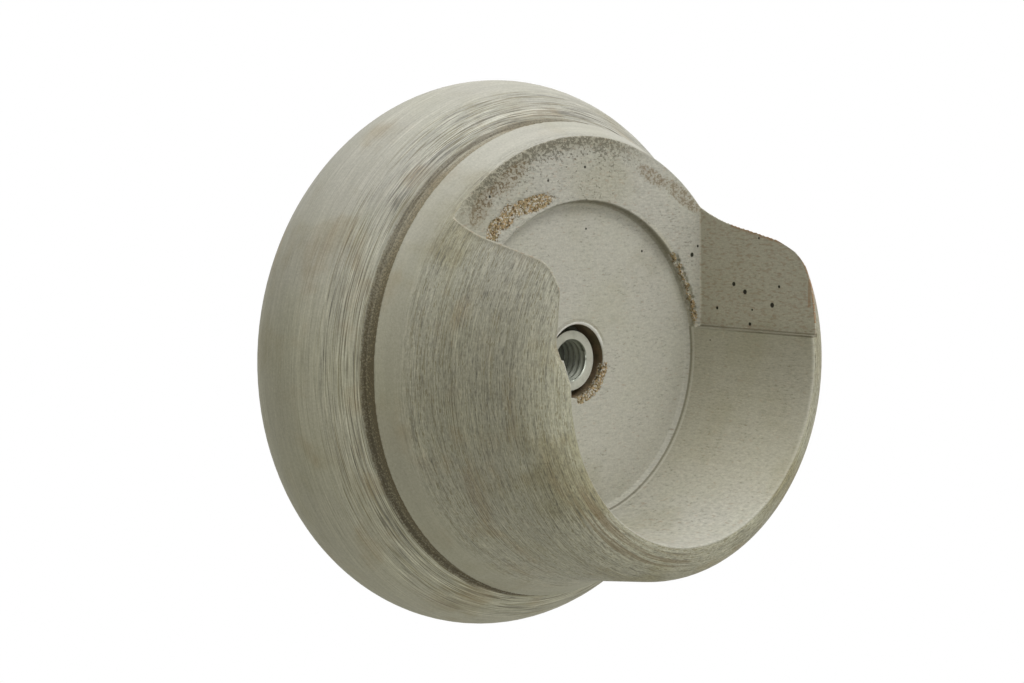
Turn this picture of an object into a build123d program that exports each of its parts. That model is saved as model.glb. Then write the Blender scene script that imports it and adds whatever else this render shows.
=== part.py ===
# Recess bracket: a turned wooden socket for the end of a curtain pole, and its threaded insert.
# Millimetres, +Z up. The wall face is the plane y = 0, centred on the origin. The turning axis
# runs along -Y, out of the wall, and the slot that the pole drops through opens upwards.
from build123d import *
import os
from math import sqrt

# Pole socket
pole_diameter = 50.0
pole_clearance = 2.0  # on the diameter, at the foot of the socket
mouth_flare = 0.5  # how much larger the socket's radius is at the lip
socket_floor_height = 31.1  # wood left between the wall face and the socket floor
socket_depth = 27.6  # socket floor to the front of the lip
socket_corner_chamfer = 0.8  # between the floor and the wall of the socket
lip_edge_radius = 0.5

# Slot across the upper half of the cup
slot_clearance = 4.0  # on the pole's diameter
slot_step = 1.9  # the flat at the back of the slot stands this far above the socket floor
slot_shelf_height = 4.0  # above the turning axis

# Turned outside of the cup, from the lip towards the wall
lip_wall = 6.35
lip_round_height = 6.4
cup_taper = 1.55  # how much the radius grows from the lip's round to the cove
cove_start = 7.75  # above the flat at the back of the slot
cove_flare = 4.45  # how much the radius grows along the cove
arris_height = 27.5  # wall face to the sharp edge of the cove
quirk_depth = 0.45  # of the narrow flat between cove and flange, below that edge

# Rounded flange
flange_overhang = 6.95  # beyond the edge of the cove
flange_section_radius = 16.0
flange_widest_drop = 15.7  # from the sharp edge of the cove towards the wall
wall_edge_chamfer = 0.6

# Threaded insert, M8 inside with a coarse wood thread outside
insert_length = 20.0
insert_recess = 1.3  # its face below the socket floor
insert_core_diameter = 9.8
insert_crest_diameter = 12.0
insert_crest_width = 0.35
insert_pitch = 4.0
insert_lead = 1.5  # plain length before the first crest
bolt_minor_diameter = 6.65
bolt_mouth_diameter = 7.1
bolt_clearance_diameter = 10.0  # hole from the wall face to the insert

# Worked out from the sizes above
socket_radius = (pole_diameter + pole_clearance) / 2
mouth_radius = socket_radius + mouth_flare
slot_width = pole_diameter + slot_clearance
slot_back_height = socket_floor_height + slot_step
lip_height = socket_floor_height + socket_depth
cup_rim_radius = mouth_radius + lip_wall
cup_rim_height = lip_height - lip_round_height
cup_foot_radius = cup_rim_radius + cup_taper
cup_foot_height = slot_back_height + cove_start
arris_radius = cup_foot_radius + cove_flare
quirk_radius = arris_radius - quirk_depth
flange_radius = arris_radius + flange_overhang
flange_centre_radius = flange_radius - flange_section_radius
flange_widest_height = arris_height - flange_widest_drop
quirk_offset = quirk_radius - flange_centre_radius
quirk_height = flange_widest_height + sqrt(flange_section_radius**2 - quirk_offset**2)
wall_face_radius = flange_centre_radius + sqrt(flange_section_radius**2 - flange_widest_height**2)
insert_front_height = socket_floor_height - insert_recess
insert_back_height = insert_front_height - insert_length
insert_flank = (insert_pitch - insert_crest_width) / 4  # axial length of one side of a crest
crest_count = int((insert_length - insert_lead) // insert_pitch)
bolt_mouth_depth = (bolt_mouth_diameter - bolt_minor_diameter) / 2


def turned(radius, height):
    # A point of a turned section: distance from the axis, distance from the wall face
    return (radius, -height)


# Body: one turned section, revolved, then slotted and drilled
with BuildPart() as bracket_body:
    with BuildSketch(Plane.XY) as section:
        with BuildLine():
            Line(turned(0, 0), turned(wall_face_radius, 0))
            ThreePointArc(
                turned(wall_face_radius, 0),
                turned(flange_radius, flange_widest_height),
                turned(quirk_radius, quirk_height),
            )
            quirk = Polyline(
                turned(quirk_radius, quirk_height),
                turned(quirk_radius, arris_height),
                turned(arris_radius, arris_height),
            )
            cup_side = Line(
                turned(cup_foot_radius, cup_foot_height),
                turned(cup_rim_radius, cup_rim_height),
            )
            TangentArc(cup_side @ 0, quirk @ 1, tangent=(cup_side % 0) * -1)
            lip_round = TangentArc(
                cup_side @ 1,
                turned(mouth_radius, lip_height),
                tangent=cup_side % 1,
            )
            Polyline(
                lip_round @ 1,
                turned(socket_radius, socket_floor_height),
                turned(0, socket_floor_height),
                turned(0, 0),
            )
        make_face()
        lip_edge = turned(mouth_radius, lip_height)
        fillet(section.vertices().sort_by_distance(lip_edge)[0], lip_edge_radius)
        for corner, width in (
            (turned(wall_face_radius, 0), wall_edge_chamfer),
            (turned(socket_radius, socket_floor_height), socket_corner_chamfer),
        ):
            chamfer(section.vertices().sort_by_distance(corner)[0], width)
    revolve(axis=Axis.Y)

    # Slot, from the flat at its back out through the lip
    with BuildSketch(Plane.XZ.offset(slot_back_height)):
        with Locations((0, slot_shelf_height)):
            Rectangle(slot_width, flange_radius, align=(Align.CENTER, Align.MIN))
    extrude(amount=lip_height, mode=Mode.SUBTRACT)

    # Seat for the insert, and the bolt's way in from the wall face
    with Locations(Plane(origin=(0, -socket_floor_height, 0), z_dir=(0, -1, 0))):
        CounterBoreHole(
            bolt_clearance_diameter / 2,
            insert_crest_diameter / 2,
            socket_floor_height - insert_back_height,
            depth=socket_floor_height,
        )

# Insert: core and crests as one turned section, open right through for the bolt
with BuildPart() as threaded_insert:
    wood_thread = []
    for turn in range(crest_count):
        root_height = insert_front_height - insert_lead - turn * insert_pitch
        crest_height = root_height - insert_flank
        wood_thread += [
            turned(insert_core_diameter / 2, root_height),
            turned(insert_crest_diameter / 2, crest_height),
            turned(insert_crest_diameter / 2, crest_height - insert_crest_width),
            turned(insert_core_diameter / 2, crest_height - insert_crest_width - insert_flank),
        ]
    with BuildSketch(Plane.XY):
        with BuildLine():
            Polyline(
                turned(bolt_minor_diameter / 2, insert_front_height - bolt_mouth_depth),
                turned(bolt_mouth_diameter / 2, insert_front_height),
                turned(insert_core_diameter / 2, insert_front_height),
                *wood_thread,
                turned(insert_core_diameter / 2, insert_back_height),
                turned(bolt_mouth_diameter / 2, insert_back_height),
                turned(bolt_minor_diameter / 2, insert_back_height + bolt_mouth_depth),
                close=True,
            )
        make_face()
    revolve(axis=Axis.Y)

bracket_body.part.label = "bracket_body"
threaded_insert.part.label = "threaded_insert"

os.makedirs("parts", exist_ok=True)
export_step(bracket_body.part, "parts/bracket_body.step")
export_step(threaded_insert.part, "parts/threaded_insert.step")
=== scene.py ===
import math

import bpy
import numpy as np
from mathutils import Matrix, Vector, noise


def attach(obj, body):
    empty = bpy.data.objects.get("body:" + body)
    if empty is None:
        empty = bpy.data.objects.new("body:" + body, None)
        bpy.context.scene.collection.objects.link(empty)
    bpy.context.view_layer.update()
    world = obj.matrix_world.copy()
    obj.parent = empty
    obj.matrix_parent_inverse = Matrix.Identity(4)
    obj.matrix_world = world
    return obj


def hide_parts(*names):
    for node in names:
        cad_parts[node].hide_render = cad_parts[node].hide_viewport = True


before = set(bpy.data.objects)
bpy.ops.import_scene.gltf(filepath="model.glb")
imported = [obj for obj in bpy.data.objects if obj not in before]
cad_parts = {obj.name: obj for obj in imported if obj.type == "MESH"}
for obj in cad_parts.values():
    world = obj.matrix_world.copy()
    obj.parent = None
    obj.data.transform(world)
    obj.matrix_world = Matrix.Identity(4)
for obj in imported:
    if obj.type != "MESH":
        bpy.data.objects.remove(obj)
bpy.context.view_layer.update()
print("frame loaded:", sorted(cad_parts))

mm = 0.001


# Working in object and edit mode

def pickOnly(piece):
    bpy.ops.object.select_all(action="DESELECT")
    piece.select_set(True)
    bpy.context.view_layer.objects.active = piece


def applyModifier(piece, kind, **settings):
    pickOnly(piece)
    added = piece.modifiers.new(kind.title(), kind)
    for name, value in settings.items():
        setattr(added, name, value)
    bpy.ops.object.modifier_apply(modifier=added.name)


def copyOfNode(nodeName, pieceName):
    piece = bpy.data.objects.new(pieceName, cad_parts[nodeName].data.copy())
    bpy.context.scene.collection.objects.link(piece)
    piece.data.name = pieceName
    pickOnly(piece)
    bpy.ops.object.mode_set(mode="EDIT")
    bpy.ops.mesh.select_all(action="SELECT")
    bpy.ops.mesh.remove_doubles(threshold=0.001 * mm)
    bpy.ops.object.mode_set(mode="OBJECT")
    return piece


def pointsOf(piece):
    # x across, out from the wall, and up, in millimetres
    flat = np.empty(len(piece.data.vertices) * 3)
    piece.data.vertices.foreach_get("co", flat)
    place = flat.reshape(-1, 3) / mm
    return place[:, 0], -place[:, 1], place[:, 2]


def movePoints(piece, x, h, z):
    # Nothing goes behind the wall face
    place = np.stack([x, -np.maximum(h, 0), z], axis=1) * mm
    piece.data.vertices.foreach_set("co", place.ravel())
    piece.data.update()


# Turned wooden body

bracket = {
    "grid": 0.2,             # the body is rebuilt on this grid, in mm
    "edgeSoftening": 3,      # sanding passes over the sharp edges
    "triangles": 186000,     # left in the finished body
    "tornPatch": [           # x, z, half length, half width, turn; on the flat at the back of the slot
        (-18.9, 21.9, 2.2, 1.3, 60),
        (-16.2, 23.9, 2.2, 1.5, 45),
        (-11.2, 25.7, 4.6, 1.3, 12),
    ],
    "tornDepth": 0.4,
    "wornLip": {             # flat sanded off the inner edge of the left horn
        "tilt": 30,          # degrees, how far the flat leans towards the socket
        "line": 34.9,        # mm from the axis, measured square to the flat
        "foot": 6.0,         # below this height the flat runs out
        "footSlope": 0.43,
        "tip": 7.0,          # and above this one
        "tipSlope": 0.1,
    },
    "wornShoulder": {        # the right horn is sanded to this radius on its way out from the wall
        "out": (49.0, 50.9, 52.6, 54.1, 55.2, 56.2, 57.2),
        "radius": (33.35, 32.9, 32.48, 32.06, 31.57, 31.02, 40.0),
    },
    "chippedStep": [(26, 38, 0.2), (48, 82, 0.7)],   # from, to (degrees), depth
    "tornRim": (92, 186, 0.55),      # lower edge of the hole, with its angles and depth in the same way
    "raisedRim": (-112, 66, 0.22),   # burr round the rest of it
    "holeRadius": 6.0,
    "floorHeight": 31.1,     # of the socket's floor, out from the wall
    "slotBackHeight": 33.0,
    "slotHalfWidth": 27.0,
    "shelfHeight": 4.0,      # of the slot's lower edge, above the axis
    "socketRadius": 26.0,
    "mouthRadius": 26.5,
    "cupFoot": (34.4, 40.75),          # radius, and out from the wall
    "cupSlope": -0.134,
    "lipRound": (25.45, 51.31, 7.47),  # its centre, given like the cup's foot, and its radius
    "smudges": [             # x, z, half length, half width, turn
        (22.6, 26.2, 5.2, 1.3, -32), (15.6, 29.6, 3.4, 1.2, -26), (-15.8, 29.8, 4.6, 1.5, 32),
        (-21.5, 25.5, 3.4, 1.6, 52),
    ],
    "pits": [                # x, out from the wall, z, radius
        (27.0, 40.7, 11.5, 0.32), (27.0, 43.2, 10.3, 0.36), (27.0, 50.7, 11.5, 0.22),
        (27.0, 49.2, 8.4, 0.36), (27.0, 36.9, 7.3, 0.24), (27.0, 44.3, 5.0, 0.26),
        (27.0, 46.3, 19.3, 0.16), (27.0, 44.8, 7.4, 0.16), (26.2, 36.2, 1.9, 0.2),
        (25.0, 33.0, 16.2, 0.34), (26.4, 33.0, 17.6, 0.2), (2.3, 31.1, 21.4, 0.16),
        (15.0, 31.1, 17.2, 0.18), (-19.8, 33.0, 27.2, 0.2), (0.4, 33.0, 31.4, 0.2),
        (-7.6, 33.0, 29.4, 0.18),
    ],
}


def within(value, low, high, soft):
    return np.clip((value - low) / soft, 0, 1) * np.clip((high - value) / soft, 0, 1)


def ovals(x, z, spots):
    amount = np.zeros_like(x)
    for spotX, spotZ, halfLength, halfWidth, turn in spots:
        c, s = math.cos(math.radians(turn)), math.sin(math.radians(turn))
        along = ((x - spotX) * c + (z - spotZ) * s) / halfLength
        across = (-(x - spotX) * s + (z - spotZ) * c) / halfWidth
        amount = np.maximum(amount, np.clip((1.3 - np.hypot(along, across)) / 0.5, 0, 1))
    return amount


def roughGrain(x, h, z, chosen, size):
    # Rough grain from -1 to 1 at the chosen points
    value = np.zeros_like(x)
    for i in np.flatnonzero(chosen):
        value[i] = noise.noise(Vector((x[i], h[i], z[i])) / size, noise_basis="PERLIN_NEW")
    return value


def wearOf(x, h, z):
    radius = np.hypot(x, z)
    angle = np.degrees(np.arctan2(x, z))
    flat = within(h, bracket["slotBackHeight"] - 0.7, bracket["slotBackHeight"] + 0.3, 0.2)
    patch = ovals(x, z, bracket["tornPatch"]) * flat
    edge = np.hypot(radius - bracket["socketRadius"], h - bracket["slotBackHeight"])
    step = np.zeros_like(x)
    for low, high, depth in bracket["chippedStep"]:
        step = np.maximum(step, within(angle, low, high, 5) * depth)
    step *= np.clip((1.2 - edge) / 0.6, 0, 1) * (z > 3)
    low, high, depth = bracket["tornRim"]
    turned = np.where(angle < -90, angle + 360, angle)
    reach = np.hypot(radius - bracket["holeRadius"] - 0.1, (h - bracket["floorHeight"]) * 0.8)
    rim = within(turned, low, high, 12) * np.clip((1.3 - reach) / 0.7, 0, 1) * depth
    low, high, raised = bracket["raisedRim"]
    burr = within(angle, low, high, 25) * raised
    burr *= np.exp(-((radius - bracket["holeRadius"] - 0.45) / 0.4) ** 2)
    return patch, step, rim, burr * (h > bracket["floorHeight"] - 0.3)


def wearHorns(x, h, z):
    # Everything that stands past a sanded flat is laid back on it
    worn = bracket["wornLip"]
    sine, cosine = math.sin(math.radians(worn["tilt"])), math.cos(math.radians(worn["tilt"]))
    line = worn["line"] + np.maximum(worn["foot"] - z, 0) * worn["footSlope"]
    line = line + np.maximum(z - worn["tip"], 0) * worn["tipSlope"]
    past = np.maximum(x * sine + h * cosine - line, 0) * (x < -22) * (z > -1)
    x, h = x - past * sine, h - past * cosine
    worn = bracket["wornShoulder"]
    radius = np.hypot(x, z)
    past = np.maximum(radius - np.interp(h, worn["out"], worn["radius"]), 0)
    past *= (x > 0) * (h > worn["out"][0]) * np.clip((z - bracket["shelfHeight"]) / 6, 0, 1)
    z = np.where(past > 0, np.sqrt(np.maximum((radius - past) ** 2 - x ** 2, 0)), z)
    return x, h, z


def roughen(piece):
    x, h, z = pointsOf(piece)
    x, h, z = wearHorns(x, h, z)
    patch, step, rim, burr = wearOf(x, h, z)
    radius = np.maximum(np.hypot(x, z), 0.01)
    chosen = (patch + step + rim) > 0.01
    coarse = roughGrain(x, h, z, chosen, 0.9)
    fine = roughGrain(x, h, z, chosen, 0.4)
    dig = np.clip(0.45 + coarse * 0.9 + fine * 0.5, 0, 1.2)
    lift = np.zeros_like(x)
    lift -= patch * bracket["tornDepth"] * dig
    lift -= step * dig
    lift += rim * (coarse * 0.5 + fine * 0.7 - 0.25)
    lift += burr
    outwards = step * dig * 0.8 + rim * np.clip(coarse + fine, 0, 1) * 0.5
    movePoints(piece, x + outwards * x / radius, h + lift, z + outwards * z / radius)


def storeWearAndShade(piece):
    x, h, z = pointsOf(piece)
    patch, step, rim, burr = wearOf(x, h, z)
    radius = np.hypot(x, z)
    torn = np.clip(patch + step * 1.6 + rim * 2.2, 0, 1)
    floorHeight, slotBack = bracket["floorHeight"], bracket["slotBackHeight"]
    socket, side = bracket["socketRadius"], bracket["slotHalfWidth"]
    # Painted shade kept as an attribute: on the step's wall, which lies in shade, and along the left slot
    # edge, darkened to dull its highlight
    stepWall = within(h, floorHeight + 0.4, slotBack - 0.1, 0.3)
    stepWall *= within(radius, socket - 0.5, socket + 0.3, 0.3)
    leftEdge = within(x, -side - 0.7, -side + 0.4, 0.3) * (h > slotBack + 0.5)
    edges = np.maximum(stepWall * 0.7, leftEdge * 0.4) * (z > bracket["shelfHeight"])
    for name, amount in (("tornWood", torn), ("paintedEdgeShade", edges)):
        attribute = piece.data.attributes.new(name, "FLOAT", "POINT")
        attribute.data.foreach_set("value", np.clip(amount, 0, 1).astype(np.float32))


woodBody = copyOfNode("bracket_body", "turnedWoodBody")
turnedForm = copyOfNode("bracket_body", "turnedForm")
applyModifier(woodBody, "REMESH", mode="VOXEL", voxel_size=bracket["grid"] * mm, use_smooth_shade=True)
applyModifier(woodBody, "SHRINKWRAP", target=turnedForm, wrap_method="NEAREST_SURFACEPOINT")
applyModifier(woodBody, "SMOOTH", factor=0.5, iterations=bracket["edgeSoftening"])
bpy.data.objects.remove(turnedForm)
print("body rebuilt:", len(woodBody.data.polygons), "faces")
roughen(woodBody)
triangleCount = len(woodBody.data.polygons) * 2
applyModifier(woodBody, "DECIMATE", ratio=bracket["triangles"] / triangleCount,
              use_collapse_triangulate=True)
movePoints(woodBody, *pointsOf(woodBody))
storeWearAndShade(woodBody)
pickOnly(woodBody)
bpy.ops.object.shade_smooth()
applyModifier(woodBody, "WEIGHTED_NORMAL", mode="FACE_AREA", weight=50)
print("body finished:", len(woodBody.data.polygons), "faces")
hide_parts("bracket_body")
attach(woodBody, "root")


# Threaded insert, with its bolt thread cut

insert = {
    "frontHeight": 29.8,
    "backHeight": 9.8,
    "threadPitch": 1.25,
    "threadStart": 0.35,     # the thread begins this far inside the mouth
    "startTurn": 112,        # degrees, from the right round to the upper left
    "grooveSide": 1.15,      # the groove is a three-sided bar wound round the bore
    "grooveFoot": 3.1,
    "stepsPerTurn": 40,
}

metalInsert = copyOfNode("threaded_insert", "threadedInsert")
grooveRadius = insert["grooveSide"] / math.sqrt(3)
threadFront = insert["frontHeight"] - insert["threadStart"]
threadLength = threadFront - insert["backHeight"] + insert["threadPitch"]
bpy.ops.object.select_all(action="DESELECT")
bpy.ops.mesh.primitive_circle_add(vertices=3, radius=grooveRadius * mm, location=(0, 0, 0))
threadCutter = bpy.context.object
bpy.ops.object.mode_set(mode="EDIT")
bpy.ops.mesh.select_all(action="SELECT")
bpy.ops.transform.rotate(value=math.radians(90), orient_axis="Z", center_override=(0, 0, 0))
bpy.ops.transform.translate(value=(
    (insert["grooveFoot"] + grooveRadius / 2) * mm, -threadFront * mm, 0))
bpy.ops.object.mode_set(mode="OBJECT")
applyModifier(threadCutter, "SCREW", axis="Y", angle=math.tau, steps=insert["stepsPerTurn"],
              render_steps=insert["stepsPerTurn"], screw_offset=insert["threadPitch"] * mm,
              iterations=math.ceil(threadLength / insert["threadPitch"]), use_normal_calculate=True)
bpy.ops.object.mode_set(mode="EDIT")
bpy.ops.mesh.select_all(action="SELECT")
bpy.ops.mesh.remove_doubles(threshold=0.001 * mm)
bpy.ops.mesh.select_all(action="DESELECT")
bpy.ops.mesh.select_non_manifold()
bpy.ops.mesh.fill()
bpy.ops.mesh.select_all(action="SELECT")
bpy.ops.mesh.normals_make_consistent(inside=False)
bpy.ops.transform.rotate(value=math.radians(insert["startTurn"]), orient_axis="Y",
                         center_override=(0, 0, 0))
bpy.ops.object.mode_set(mode="OBJECT")
applyModifier(metalInsert, "BOOLEAN", operation="DIFFERENCE", solver="EXACT", object=threadCutter)
bpy.data.objects.remove(threadCutter)
pickOnly(metalInsert)
bpy.ops.object.shade_smooth_by_angle(angle=math.radians(35))
print("insert threaded:", len(metalInsert.data.polygons), "faces")
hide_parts("threaded_insert")
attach(metalInsert, "root")


# Materials. The helpers put their nodes in tree, which is always the finish being made.

def srgb(red, green, blue):
    def linear(value):
        value /= 255
        return value / 12.92 if value <= 0.04045 else ((value + 0.055) / 1.055) ** 2.4
    return (linear(red), linear(green), linear(blue), 1)


def newFinish(name):
    finish = bpy.data.materials.new(name)
    finish.use_nodes = True
    finish.node_tree.nodes.clear()
    return finish, finish.node_tree


def put(kind, **settings):
    made = tree.nodes.new("ShaderNode" + kind)
    for name, value in settings.items():
        setattr(made, name, value)
    return made


def join(value, socket):
    if isinstance(value, bpy.types.NodeSocket):
        tree.links.new(value, socket)
    else:
        socket.default_value = value


def calc(operation, *values):
    made = put("Math", operation=operation)
    for value, socket in zip(values, made.inputs):
        join(value, socket)
    return made.outputs[0]


def times(*values):
    result = values[0]
    for value in values[1:]:
        result = calc("MULTIPLY", result, value)
    return result


def plus(*values):
    result = values[0]
    for value in values[1:]:
        result = calc("ADD", result, value)
    return result


def inverse(value):
    return calc("SUBTRACT", 1.0, value)


def above(value, limit):
    return calc("GREATER_THAN", value, limit)


def below(value, limit):
    return calc("LESS_THAN", value, limit)


def rise(value, low, high):
    # 0 below the first limit, 1 above the second, smooth between
    made = put("MapRange", interpolation_type="SMOOTHSTEP")
    join(value, made.inputs["Value"])
    made.inputs["From Min"].default_value = low
    made.inputs["From Max"].default_value = high
    return made.outputs[0]


def between(value, low, high, soft):
    return times(rise(value, low - soft, low), inverse(rise(value, high, high + soft)))


def swing(value, amount):
    # A noise as a difference from its middle
    return times(calc("SUBTRACT", value, 0.5), amount)


def layer(amount, under, over, blend="MIX"):
    made = put("Mix", data_type="RGBA", blend_type=blend)
    join(amount, made.inputs[0])
    join(under, made.inputs[6])
    join(over, made.inputs[7])
    return made.outputs[2]


def grain(place, scale, detail=2.0, roughness=0.5, extra=None):
    made = put("TexNoise", noise_dimensions="4D" if extra is not None else "3D")
    join(place, made.inputs["Vector"])
    if extra is not None:
        join(extra, made.inputs["W"])
    made.inputs["Scale"].default_value = scale
    made.inputs["Detail"].default_value = detail
    made.inputs["Roughness"].default_value = roughness
    return made.outputs[0]


def vector(x, y, z):
    made = put("CombineXYZ")
    for value, socket in zip((x, y, z), made.inputs):
        join(value, socket)
    return made.outputs[0]


def stretched(place, x, y, z):
    made = put("Mapping", vector_type="POINT")
    join(place, made.inputs["Vector"])
    made.inputs["Scale"].default_value = (x, y, z)
    return made.outputs[0]


def stored(name):
    made = put("Attribute", attribute_name=name, attribute_type="GEOMETRY")
    return made.outputs["Fac"]


def millimetres():
    # Place on the piece, its x, out from the wall, z, and distance from the axis
    coordinates = put("TexCoord")
    scaled = put("VectorMath", operation="SCALE")
    tree.links.new(coordinates.outputs["Object"], scaled.inputs[0])
    scaled.inputs["Scale"].default_value = 1000.0
    parts = put("SeparateXYZ")
    tree.links.new(scaled.outputs[0], parts.inputs[0])
    x, y, z = parts.outputs
    radius = calc("SQRT", plus(times(x, x), times(z, z)))
    return scaled.outputs[0], x, times(y, -1.0), z, radius


def coatPiece(piece, finish, surface, height, strength, depth):
    bump = put("Bump")
    bump.inputs["Strength"].default_value = strength
    bump.inputs["Distance"].default_value = depth
    tree.links.new(height, bump.inputs["Height"])
    shader = put("BsdfPrincipled")
    for name, value in surface.items():
        join(value, shader.inputs[name])
    tree.links.new(bump.outputs[0], shader.inputs["Normal"])
    output = put("OutputMaterial")
    tree.links.new(shader.outputs[0], output.inputs["Surface"])
    piece.data.materials.clear()
    piece.data.materials.append(finish)


paint = {
    "colour": srgb(181, 179, 167),
    "cooler": srgb(170, 169, 154),    # where the coat is thin
    "pale": srgb(212, 211, 200),
    "glazeAndShade": srgb(98, 93, 72),         # grey-brown glaze in the turning marks, also laid on as painted shade along the step, the shelf, the left slot edge, the lower flange band and beside the hole's burr
    # dark glaze and specks, also used for the painted shadow line at the groove's foot
    "deepGlazeAndShade": srgb(54, 48, 32),
    "olive": srgb(152, 147, 120),
    "tint": srgb(158, 134, 112),      # pinkish brown showing through
    "tan": srgb(150, 130, 100),       # older wax on the flange
    "grooveGlaze": srgb(142, 130, 102),
    "slotSide": srgb(198, 192, 161),
    "openGrain": srgb(136, 128, 98),
    "openPores": srgb(74, 70, 50),
    "tornPale": srgb(200, 194, 178),
    "tornTan": srgb(184, 160, 122),
    "tornOlive": srgb(158, 144, 108),
    "tornDark": srgb(112, 94, 64),
    "burr": srgb(236, 235, 228),
    "smudge": srgb(116, 98, 66),
    "pit": srgb(42, 40, 30),
    "rubbedEdge": srgb(164, 124, 86),
    "holeWall": srgb(124, 106, 82),
    "holeShade": srgb(96, 88, 66),
    "rawBack": srgb(201, 172, 132),
    "rawDark": srgb(160, 122, 82),
    "hairline": (0.2, 3.2),           # mm across a turning mark, and how often one breaks on its way round
    "scratch": (0.18, 10.0),
    "stroke": (0.45, 1.5),
    "bands": (3.2, 0.8),
    "dashes": (0.9, 0.28),            # mm along and across a fleck of the wood's own grain
    "splinterSize": 0.3,
    "paintedShadeTint": (1.0, 0.99, 0.86, 1),   # painted shade: the lower outside, which lies in shade, tinted yellower
    "dapple": (0.22, 30.0),           # short marks on the cup
    "groove": (25.0, 27.1, 0.5),      # from, to, in mm out from the wall, and how softly it ends
    # painted shadow line in the crease at the foot of the groove
    "grooveFoot": (24.85, 25.15, 0.2),
    "besideGroove": (20.8, 24.9, 2.0),
    "quietBand": (27.6, 30.5, 1.8),
    "cup": (30.0, 34.0),
    "roughness": 0.62,
    "specular": 0.35,
    "relief": 0.7,
    "reliefDepth": 0.14 * mm,
}

limedPaint, tree = newFinish("limedPaint")
place, x, h, z, radius = millimetres()
ringX = calc("DIVIDE", x, radius)
ringZ = calc("DIVIDE", z, radius)


def turnedMarks(size, detail=2.0):
    # Noise drawn out round the turning axis, without a seam
    width, breaks = size
    across = 1.0 / width
    ring = vector(times(radius, across), times(h, across), times(ringX, breaks))
    return grain(ring, 1.0, detail, 0.55, times(ringZ, breaks))


# Where each finish lies
floorHeight, slotBack = bracket["floorHeight"], bracket["slotBackHeight"]
side, shelf = bracket["slotHalfWidth"], bracket["shelfHeight"]
socket, mouth, hole = bracket["socketRadius"], bracket["mouthRadius"], bracket["holeRadius"]
inSlot = times(below(calc("ABSOLUTE", x), side + 0.2), above(z, shelf - 0.2), above(h, slotBack - 0.2))
inBore = times(rise(times(radius, -1.0), -mouth - 0.4, -mouth - 0.1), above(h, floorHeight - 2.1))
inside = calc("MAXIMUM", inSlot, inBore)
outside = inverse(inside)
back = inverse(rise(h, 0.15, 0.45))
onCup = rise(h, *paint["cup"])
quietBand = between(h, *paint["quietBand"])
besideGroove = between(h, *paint["besideGroove"])
grit = grain(place, 2.6, 2.0, 0.7)
raggedH = plus(h, swing(grit, 1.1))
groove = times(between(raggedH, *paint["groove"]), below(radius, 39.3), outside)

# Turning marks
hairlines = turnedMarks(paint["hairline"])
scratches = turnedMarks(paint["scratch"], 1.0)
strokes = turnedMarks(paint["stroke"])
bands = turnedMarks(paint["bands"], 3.0)
cloud = grain(place, 0.09, 4.0)
dapple = turnedMarks(paint["dapple"], 1.0)
zone = plus(0.36, times(besideGroove, 0.95), times(onCup, 0.45))
zone = times(zone, inverse(times(quietBand, 0.75)), outside)
patchy = plus(0.55, rise(grain(place, 0.14, 2.0), 0.35, 0.65))
tone = plus(swing(hairlines, 1.25), swing(scratches, 0.8), swing(strokes, 0.3))
tone = plus(times(tone, zone, patchy), times(swing(bands, 0.5), outside))

# Flecks of the wood's own grain, lying level
along, across = paint["dashes"]
flecks = grain(stretched(place, 1 / along, 1 / along, 1 / across), 1.0, 2.0, 0.6)
fleckPatch = rise(grain(place, 0.16, 2.0), 0.38, 0.62)
onFloor = times(inBore, below(h, floorHeight + 0.2))
tone = plus(tone, times(swing(flecks, -0.4), plus(inside, times(onCup, 0.8))))
tone = plus(tone, swing(grit, 0.45), swing(cloud, 0.28))
onCupSide = times(onCup, outside)
tone = plus(tone, times(swing(dapple, 1.5), onCupSide))
tone = plus(tone, times(inside, 0.03), times(onFloor, 0.045))

colour = layer(times(rise(cloud, 0.35, 0.7), 0.6), paint["colour"], paint["cooler"])
olive = rise(grain(place, 0.055, 3.0, 0.6), 0.5, 0.66)
colour = layer(times(olive, plus(0.3, times(onCup, outside, 0.35))), colour, paint["olive"])
fromMiddle = calc("ABSOLUTE", swing(strokes, 1.0))
fineLine = times(inverse(rise(fromMiddle, 0.0, 0.05)), rise(bands, 0.42, 0.6), zone)
colour = layer(times(fineLine, 0.5), colour, paint["deepGlazeAndShade"])
besideLine = calc("ABSOLUTE", calc("SUBTRACT", strokes, 0.6))
paleLine = times(inverse(rise(besideLine, 0.0, 0.04)), rise(bands, 0.42, 0.6), zone)
colour = layer(times(paleLine, 0.45), colour, paint["pale"])
glazed = times(rise(plus(hairlines, swing(strokes, 0.3)), 0.54, 0.66), zone)
colour = layer(times(glazed, 0.55), colour, paint["glazeAndShade"])
dashes = times(rise(plus(dapple, swing(strokes, 0.35)), 0.57, 0.66), onCupSide)
colour = layer(times(dashes, 0.68), colour, paint["glazeAndShade"])
rubbed = times(rise(plus(inverse(hairlines), swing(scratches, 0.5)), 0.6, 0.74), zone)
colour = layer(times(rubbed, 0.4), colour, paint["pale"])
tinted = rise(grain(place, 0.11, 3.0, 0.6), 0.5, 0.66)
tinted = times(tinted, plus(0.35, rise(bands, 0.46, 0.6)), outside)
colour = layer(times(tinted, 0.2), colour, paint["tan"])
darkFlecks = times(rise(flecks, 0.6, 0.72), fleckPatch, inside)
colour = layer(times(darkFlecks, 0.4), colour, paint["glazeAndShade"])
pinkFlecks = grain(stretched(place, 0.9, 0.9, 2.6), 1.0, 1.0)
colour = layer(times(rise(pinkFlecks, 0.62, 0.74), inside, 0.35), colour, paint["tint"])
toned = put("VectorMath", operation="SCALE")
tree.links.new(colour, toned.inputs[0])
tree.links.new(plus(1.0, tone), toned.inputs["Scale"])
colour = toned.outputs[0]

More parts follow.
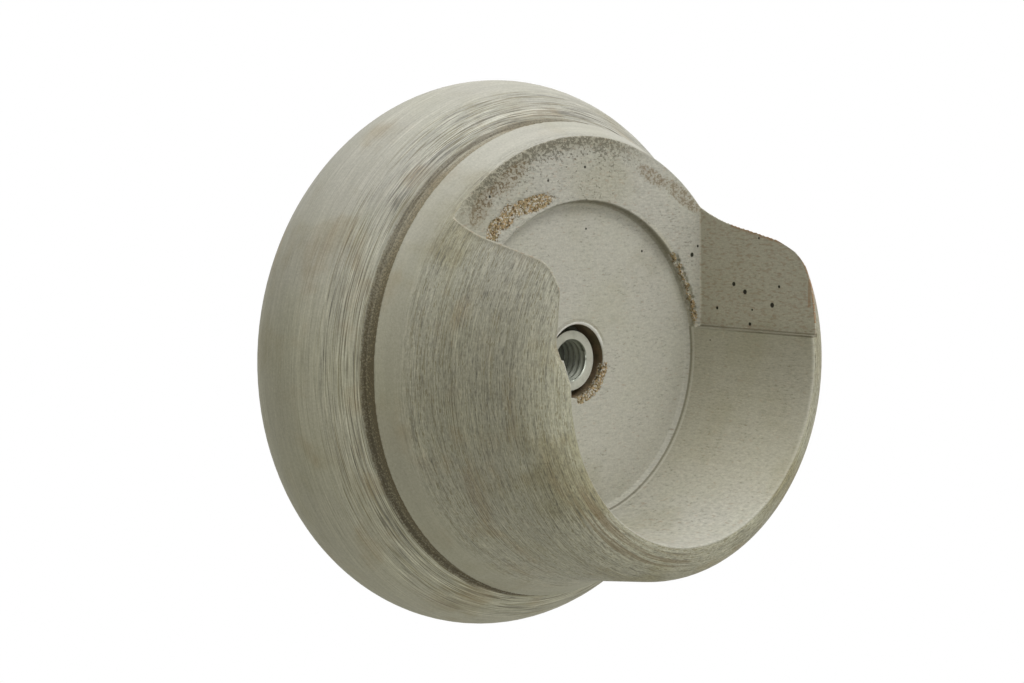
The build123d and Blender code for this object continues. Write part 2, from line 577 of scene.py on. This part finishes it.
onSide = times(above(calc("ABSOLUTE", x), side - 0.2), inSlot)
onWall = times(inBore, rise(x, 8.0, 22.0), above(radius, socket - 0.2))
colour = layer(plus(times(onSide, 0.3), times(onWall, 0.25)), colour, paint["slotSide"])
colour = layer(times(onSide, rise(pinkFlecks, 0.52, 0.62), 0.35), colour, paint["tint"])

# Glaze and open grain lying in the groove, laid on heavier towards the shaded lower side as painted shade
specks = grain(place, 3.2, 2.0, 0.6)
shadedLowSide = rise(times(z, -1.0), -34.0, 4.0)
deepest = rise(h, 25.2, 27.0)
# The glaze and dark specks are real; their growth towards the shaded lower side is painted shade
glazeAmount = plus(0.45, times(deepest, 0.3), times(shadedLowSide, 0.15))
colour = layer(times(groove, glazeAmount), colour, paint["grooveGlaze"])
grooveSpecks = rise(plus(specks, times(shadedLowSide, 0.12), times(deepest, 0.07)), 0.52, 0.6)
speckAmount = plus(0.38, times(shadedLowSide, 0.2))
colour = layer(times(groove, grooveSpecks, speckAmount), colour, paint["deepGlazeAndShade"])
# Painted shade: the lower outside is tinted yellower where it lies in shade
colour = layer(times(outside, shadedLowSide), colour, paint["paintedShadeTint"], "MULTIPLY")
# Painted shade: a light dark wash over the quiet band on its shaded lower side
colour = layer(times(quietBand, shadedLowSide, outside, 0.12), colour, paint["glazeAndShade"])
# Painted shadow line in the crease between the flange and the groove
grooveFoot = times(between(h, *paint["grooveFoot"]), outside, rise(bands, 0.3, 0.5))
colour = layer(times(grooveFoot, 0.35), colour, paint["deepGlazeAndShade"])

# Brown smudges and open grain on the flat at the back of the slot
onFlat = times(inSlot, below(h, slotBack + 0.3))


def ovalMask(spotX, spotZ, halfLength, halfWidth, turn):
    c, s = math.cos(math.radians(turn)), math.sin(math.radians(turn))
    fromX, fromZ = plus(x, -spotX), plus(z, -spotZ)
    lengthwise = plus(times(fromX, c / halfLength), times(fromZ, s / halfLength))
    sideways = plus(times(fromX, -s / halfWidth), times(fromZ, c / halfWidth))
    away = plus(times(lengthwise, lengthwise), times(sideways, sideways))
    return inverse(rise(plus(away, swing(grit, 1.2)), 0.6, 1.5))


openDots = grain(stretched(place, 2.2, 2.2, 2.6), 1.0, 2.0, 0.6)
upper = times(rise(ringX, -0.78, -0.6), inverse(rise(ringX, 0.1, 0.5)), onFlat)
openGrain = times(rise(radius, 33.4, 35.6), upper)
colour = layer(times(openGrain, 0.45), colour, paint["openGrain"])
openMix = times(upper, rise(plus(openDots, times(rise(radius, 31.0, 36.2), 0.2)), 0.6, 0.78))
colour = layer(times(openMix, 0.6), colour, paint["openPores"])
for spot in bracket["smudges"]:
    spotted = times(ovalMask(*spot), onFlat, plus(0.22, times(rise(openDots, 0.46, 0.6), 0.5)))
    colour = layer(spotted, colour, paint["smudge"])
onLip = times(between(radius, mouth + 1.3, mouth + 3.7, 0.6), above(h, 56.0))
lipStain = times(onLip, rise(times(z, -1.0), 13.0, 20.0), rise(times(x, -1.0), -2.0, 8.0),
                 rise(strokes, 0.42, 0.6))
colour = layer(times(lipStain, 0.65), colour, paint["smudge"])

# Small dark pits
clear = 1.0
for pitX, pitH, pitZ, size in bracket["pits"]:
    gap = put("VectorMath", operation="DISTANCE")
    tree.links.new(place, gap.inputs[0])
    gap.inputs[1].default_value = (pitX, -pitH, pitZ)
    clear = times(clear, rise(gap.outputs["Value"], size * 0.9, size * 1.4))
colour = layer(inverse(clear), colour, paint["pit"])

# Paint rubbed off the right horn's outer edge, by its depth below the turned form
footRadius, footHeight = bracket["cupFoot"]
cupGap = plus(footRadius, times(plus(h, -footHeight), bracket["cupSlope"]), times(radius, -1.0))
centreRadius, centreHeight, lipRadius = bracket["lipRound"]
fromCentre = (plus(radius, -centreRadius), plus(h, -centreHeight))
toRound = calc("SQRT", plus(*(times(leg, leg) for leg in fromCentre)))
roundGap = calc("SUBTRACT", lipRadius, toRound)
high = rise(h, 52.0, 52.6)
edgeGap = plus(times(cupGap, inverse(high)), times(roundGap, high))
hornEdge = times(between(x, side - 0.4, side + 0.3, 0.15), inverse(rise(edgeGap, 0.15, 0.4)),
                 above(z, 6.0), above(h, 40.0))
colour = layer(times(hornEdge, rise(grit, 0.36, 0.5), 0.75), colour, paint["rubbedEdge"])
sliver = times(between(z, 8.6, 12.6, 0.4), between(h, 56.9, 57.4, 0.1), above(x, side - 0.4))
colour = layer(times(sliver, 0.5), colour, paint["rubbedEdge"])

# Painted shade along the step, where its wall lies in shadow, and along the shelf beside the slot, dulling
# the highlight on its rounded ledge
stepShade = times(between(radius, socket - 0.3, socket + 0.1, 0.2), inBore, rise(z, shelf, 12.0),
                 rise(x, -10.0, 2.0), plus(0.35, times(specks, 0.6)))
colour = layer(times(stepShade, 0.7), colour, paint["glazeAndShade"])
boreLedge = times(between(z, shelf - 0.25, shelf + 0.2, 0.15), rise(x, socket - 0.4, socket + 0.1), inBore)
slotLedge = times(between(z, shelf - 0.2, shelf + 0.2, 0.15), between(x, side - 0.4, side + 0.3, 0.2))
ledgeShade = times(plus(boreLedge, slotLedge), above(h, slotBack + 0.1))
colour = layer(calc("MINIMUM", times(ledgeShade, 0.75), 0.75), colour, paint["glazeAndShade"])

# Bare wood where the paint tore away: splinter ends, each with its own colour and a dark edge
cells = put("TexVoronoi", voronoi_dimensions="3D", feature="F1")
tree.links.new(place, cells.inputs["Vector"])
cells.inputs["Scale"].default_value = 1.0 / paint["splinterSize"]
cells.inputs["Randomness"].default_value = 0.9
cellTone = put("SeparateXYZ")
tree.links.new(cells.outputs["Color"], cellTone.inputs[0])
one, two, three = cellTone.outputs
bare = layer(above(one, 0.45), paint["tornTan"], paint["tornPale"])
bare = layer(above(two, 0.7), bare, paint["tornOlive"])
bare = layer(above(three, 0.84), bare, paint["tornDark"])
cellEdge = rise(cells.outputs["Distance"], 0.42, 0.8)
bare = layer(times(cellEdge, 0.55), bare, paint["tornDark"])
tornMix = rise(plus(stored("tornWood"), swing(grit, 0.9), swing(specks, 1.6)), 0.44, 0.64)
colour = layer(tornMix, colour, bare)

# Burr of paint round the hole with a painted shadow beside it, the crack in the socket's corner, and
# painted shade along the step wall and the left slot edge
towardsTorn = plus(times(ringX, 0.64), times(ringZ, -0.77))
intact = inverse(rise(towardsTorn, 0.1, 0.45))
onRim = times(above(h, floorHeight - 0.25), intact)
burr = times(between(plus(radius, swing(grit, 0.25)), hole, hole + 0.35, 0.1), onRim)
colour = layer(times(burr, 0.95), colour, paint["burr"])
burrShade = times(between(radius, hole + 0.6, hole + 0.85, 0.15), onRim)
colour = layer(times(burrShade, 0.3), colour, paint["glazeAndShade"])
lowBore = times(inBore, below(z, shelf), above(radius, socket - 0.3))
crack = times(between(h, floorHeight + 0.65, floorHeight + 0.85, 0.1), lowBore)
colour = layer(times(crack, 0.65), colour, paint["glazeAndShade"])
besideCrack = times(between(h, floorHeight + 1.15, floorHeight + 1.4, 0.12), lowBore)
colour = layer(times(besideCrack, 0.5), colour, paint["pale"])
colour = layer(times(stored("paintedEdgeShade"), plus(0.4, times(specks, 0.5))), colour, paint["glazeAndShade"])

# Raw cut wall of the insert's hole
inHole = times(below(radius, hole + 0.15), below(h, floorHeight - 0.2))
holeCloud = rise(grain(place, 0.5, 3.0), 0.35, 0.65)
holeColour = layer(holeCloud, paint["holeWall"], paint["holeShade"])
colour = layer(times(inHole, inverse(tornMix)), colour, holeColour)

# Raw wood on the wall face
backGrain = grain(stretched(place, 0.05, 0.05, 0.9), 1.0, 5.0, 0.6)
rawWood = layer(rise(backGrain, 0.3, 0.75), paint["rawBack"], paint["rawDark"])
backMix = times(back, rise(plus(times(radius, -1.0), times(cloud, 4.0)), -39.5, -38.5))
colour = layer(backMix, colour, rawWood)

height = times(plus(times(hairlines, -1.0), times(scratches, -0.5), times(strokes, -1.0)), zone)
height = plus(height, times(flecks, inside, -0.4), times(grit, 0.25))
height = plus(height, times(tornMix, cells.outputs["Distance"], -2.0), times(openMix, -1.2))
shine = plus(paint["roughness"], times(plus(glazed, tornMix), 0.14))
surface = {"Base Color": colour, "Roughness": shine, "Specular IOR Level": paint["specular"]}
coatPiece(woodBody, limedPaint, surface, height, paint["relief"], paint["reliefDepth"])
print("paint laid")

metal = {
    "paint": srgb(184, 184, 170),
    "steel": srgb(184, 188, 174),
    # dirt on the steel, also laid on as painted shade in the thread's roots
    "dirtAndRootShade": srgb(96, 98, 84),
    "thinPaint": srgb(140, 140, 124),
    "paintedDepth": 29.3,   # the brush reached this deep into the mouth
    "boreRadius": 3.5,      # and no further in than this
    "relief": 0.4,
    "reliefDepth": 0.06 * mm,
}

paintedSteel, tree = newFinish("paintedSteel")
place, x, h, z, radius = millimetres()
blotches = grain(place, 0.9, 4.0, 0.6)
scuffs = grain(place, 1.2, 2.0, 0.5)
onFace = rise(plus(h, times(blotches, 0.1)), metal["paintedDepth"], metal["paintedDepth"] + 0.3)
painted = times(onFace, above(radius, metal["boreRadius"]))
steelColour = layer(times(rise(scuffs, 0.4, 0.75), 0.35), metal["steel"], metal["dirtAndRootShade"])
# Painted shade: the thread darkens towards its roots
threadRootShade = rise(radius, 3.3, 3.8)
steelColour = layer(times(threadRootShade, 0.85), steelColour, metal["dirtAndRootShade"])
paintAmount = times(rise(blotches, 0.45, 0.75), 0.4)
paintColour = layer(paintAmount, metal["paint"], metal["thinPaint"])
surface = {
    "Base Color": layer(painted, steelColour, paintColour),
    "Metallic": inverse(plus(0.6, times(painted, 0.4))),
    "Roughness": plus(0.42, times(painted, 0.15)),
}
coatPiece(metalInsert, paintedSteel, surface, scuffs, metal["relief"], metal["reliefDepth"])
print("insert finished")


# Studio

studio = {
    "floorDrop": 0.30,       # metres below the bracket's axis
    "ambient": 0.384,
    "fill": (1.0, 0.985, 0.925, 1),
    "lampColour": (0.98, 0.985, 1.0),
    "lamps": {               # place in metres, and watts
        "topLamp": ((0.10, 0.10, 0.85), 3.7),
        "highFrontLamp": ((0, -0.60, 0.70), 3.5),
        "lowFrontLamp": ((0.15, -0.85, -0.20), 1.5),
    },
    "aim": (0, -0.03, 0),
    "floorColour": (0.62, 0.62, 0.61, 1),
    "lampSize": 0.5,
    "cameraPlace": (-0.23288, -0.28092, 0.03659),
    "cameraTurn": (84.433, 0.653, -41.298),   # degrees
    "lens": 74.37,
}


def directView():
    path = put("LightPath")
    seen = calc("MAXIMUM", path.outputs["Is Camera Ray"], path.outputs["Is Glossy Ray"])
    return calc("MAXIMUM", seen, path.outputs["Is Transmission Ray"])


bpy.ops.object.select_all(action="DESELECT")
bpy.ops.mesh.primitive_plane_add(size=16, location=(0, 0, -studio["floorDrop"]))
floor = bpy.context.object
floor.name = "studioFloor"
paper, tree = newFinish("whitePaper")
coordinates = put("TexCoord")
distance = put("VectorMath", operation="LENGTH")
tree.links.new(coordinates.outputs["Object"], distance.inputs[0])
away = rise(distance.outputs["Value"], 0.35, 0.8)
diffuse = put("BsdfDiffuse")
diffuse.inputs["Color"].default_value = studio["floorColour"]
glow = put("Emission")
glow.inputs["Strength"].default_value = 1.0
blendShader = put("MixShader")
tree.links.new(times(away, directView()), blendShader.inputs[0])
tree.links.new(diffuse.outputs[0], blendShader.inputs[1])
tree.links.new(glow.outputs[0], blendShader.inputs[2])
output = put("OutputMaterial")
tree.links.new(blendShader.outputs[0], output.inputs["Surface"])
floor.data.materials.append(paper)

world = bpy.data.worlds.new("studio")
bpy.context.scene.world = world
world.use_nodes = True
tree = world.node_tree
tree.nodes.clear()
background = put("Background")
white = layer(directView(), studio["fill"], (1, 1, 1, 1))
tree.links.new(white, background.inputs["Color"])
strength = plus(studio["ambient"], times(directView(), 1.0 - studio["ambient"]))
tree.links.new(strength, background.inputs["Strength"])
output = put("OutputWorld")
tree.links.new(background.outputs[0], output.inputs["Surface"])

for name, (place, watts) in studio["lamps"].items():
    bpy.ops.object.light_add(type="AREA", location=place)
    lamp = bpy.context.object
    lamp.name = name
    lamp.data.shape = "DISK"
    lamp.data.size = studio["lampSize"]
    lamp.data.energy = watts
    lamp.data.color = studio["lampColour"]
    lamp.rotation_euler = (Vector(studio["aim"]) - Vector(place)).to_track_quat("-Z", "Y").to_euler()

bpy.ops.object.camera_add(location=studio["cameraPlace"],
                          rotation=[math.radians(angle) for angle in studio["cameraTurn"]])
camera = bpy.context.object
camera.name = "photoCamera"
camera.data.lens = studio["lens"]
camera.data.sensor_width = 36
camera.data.clip_start = 0.01
bpy.context.scene.camera = camera

bpy.context.scene.view_settings.view_transform = "Standard"
print("studio ready")
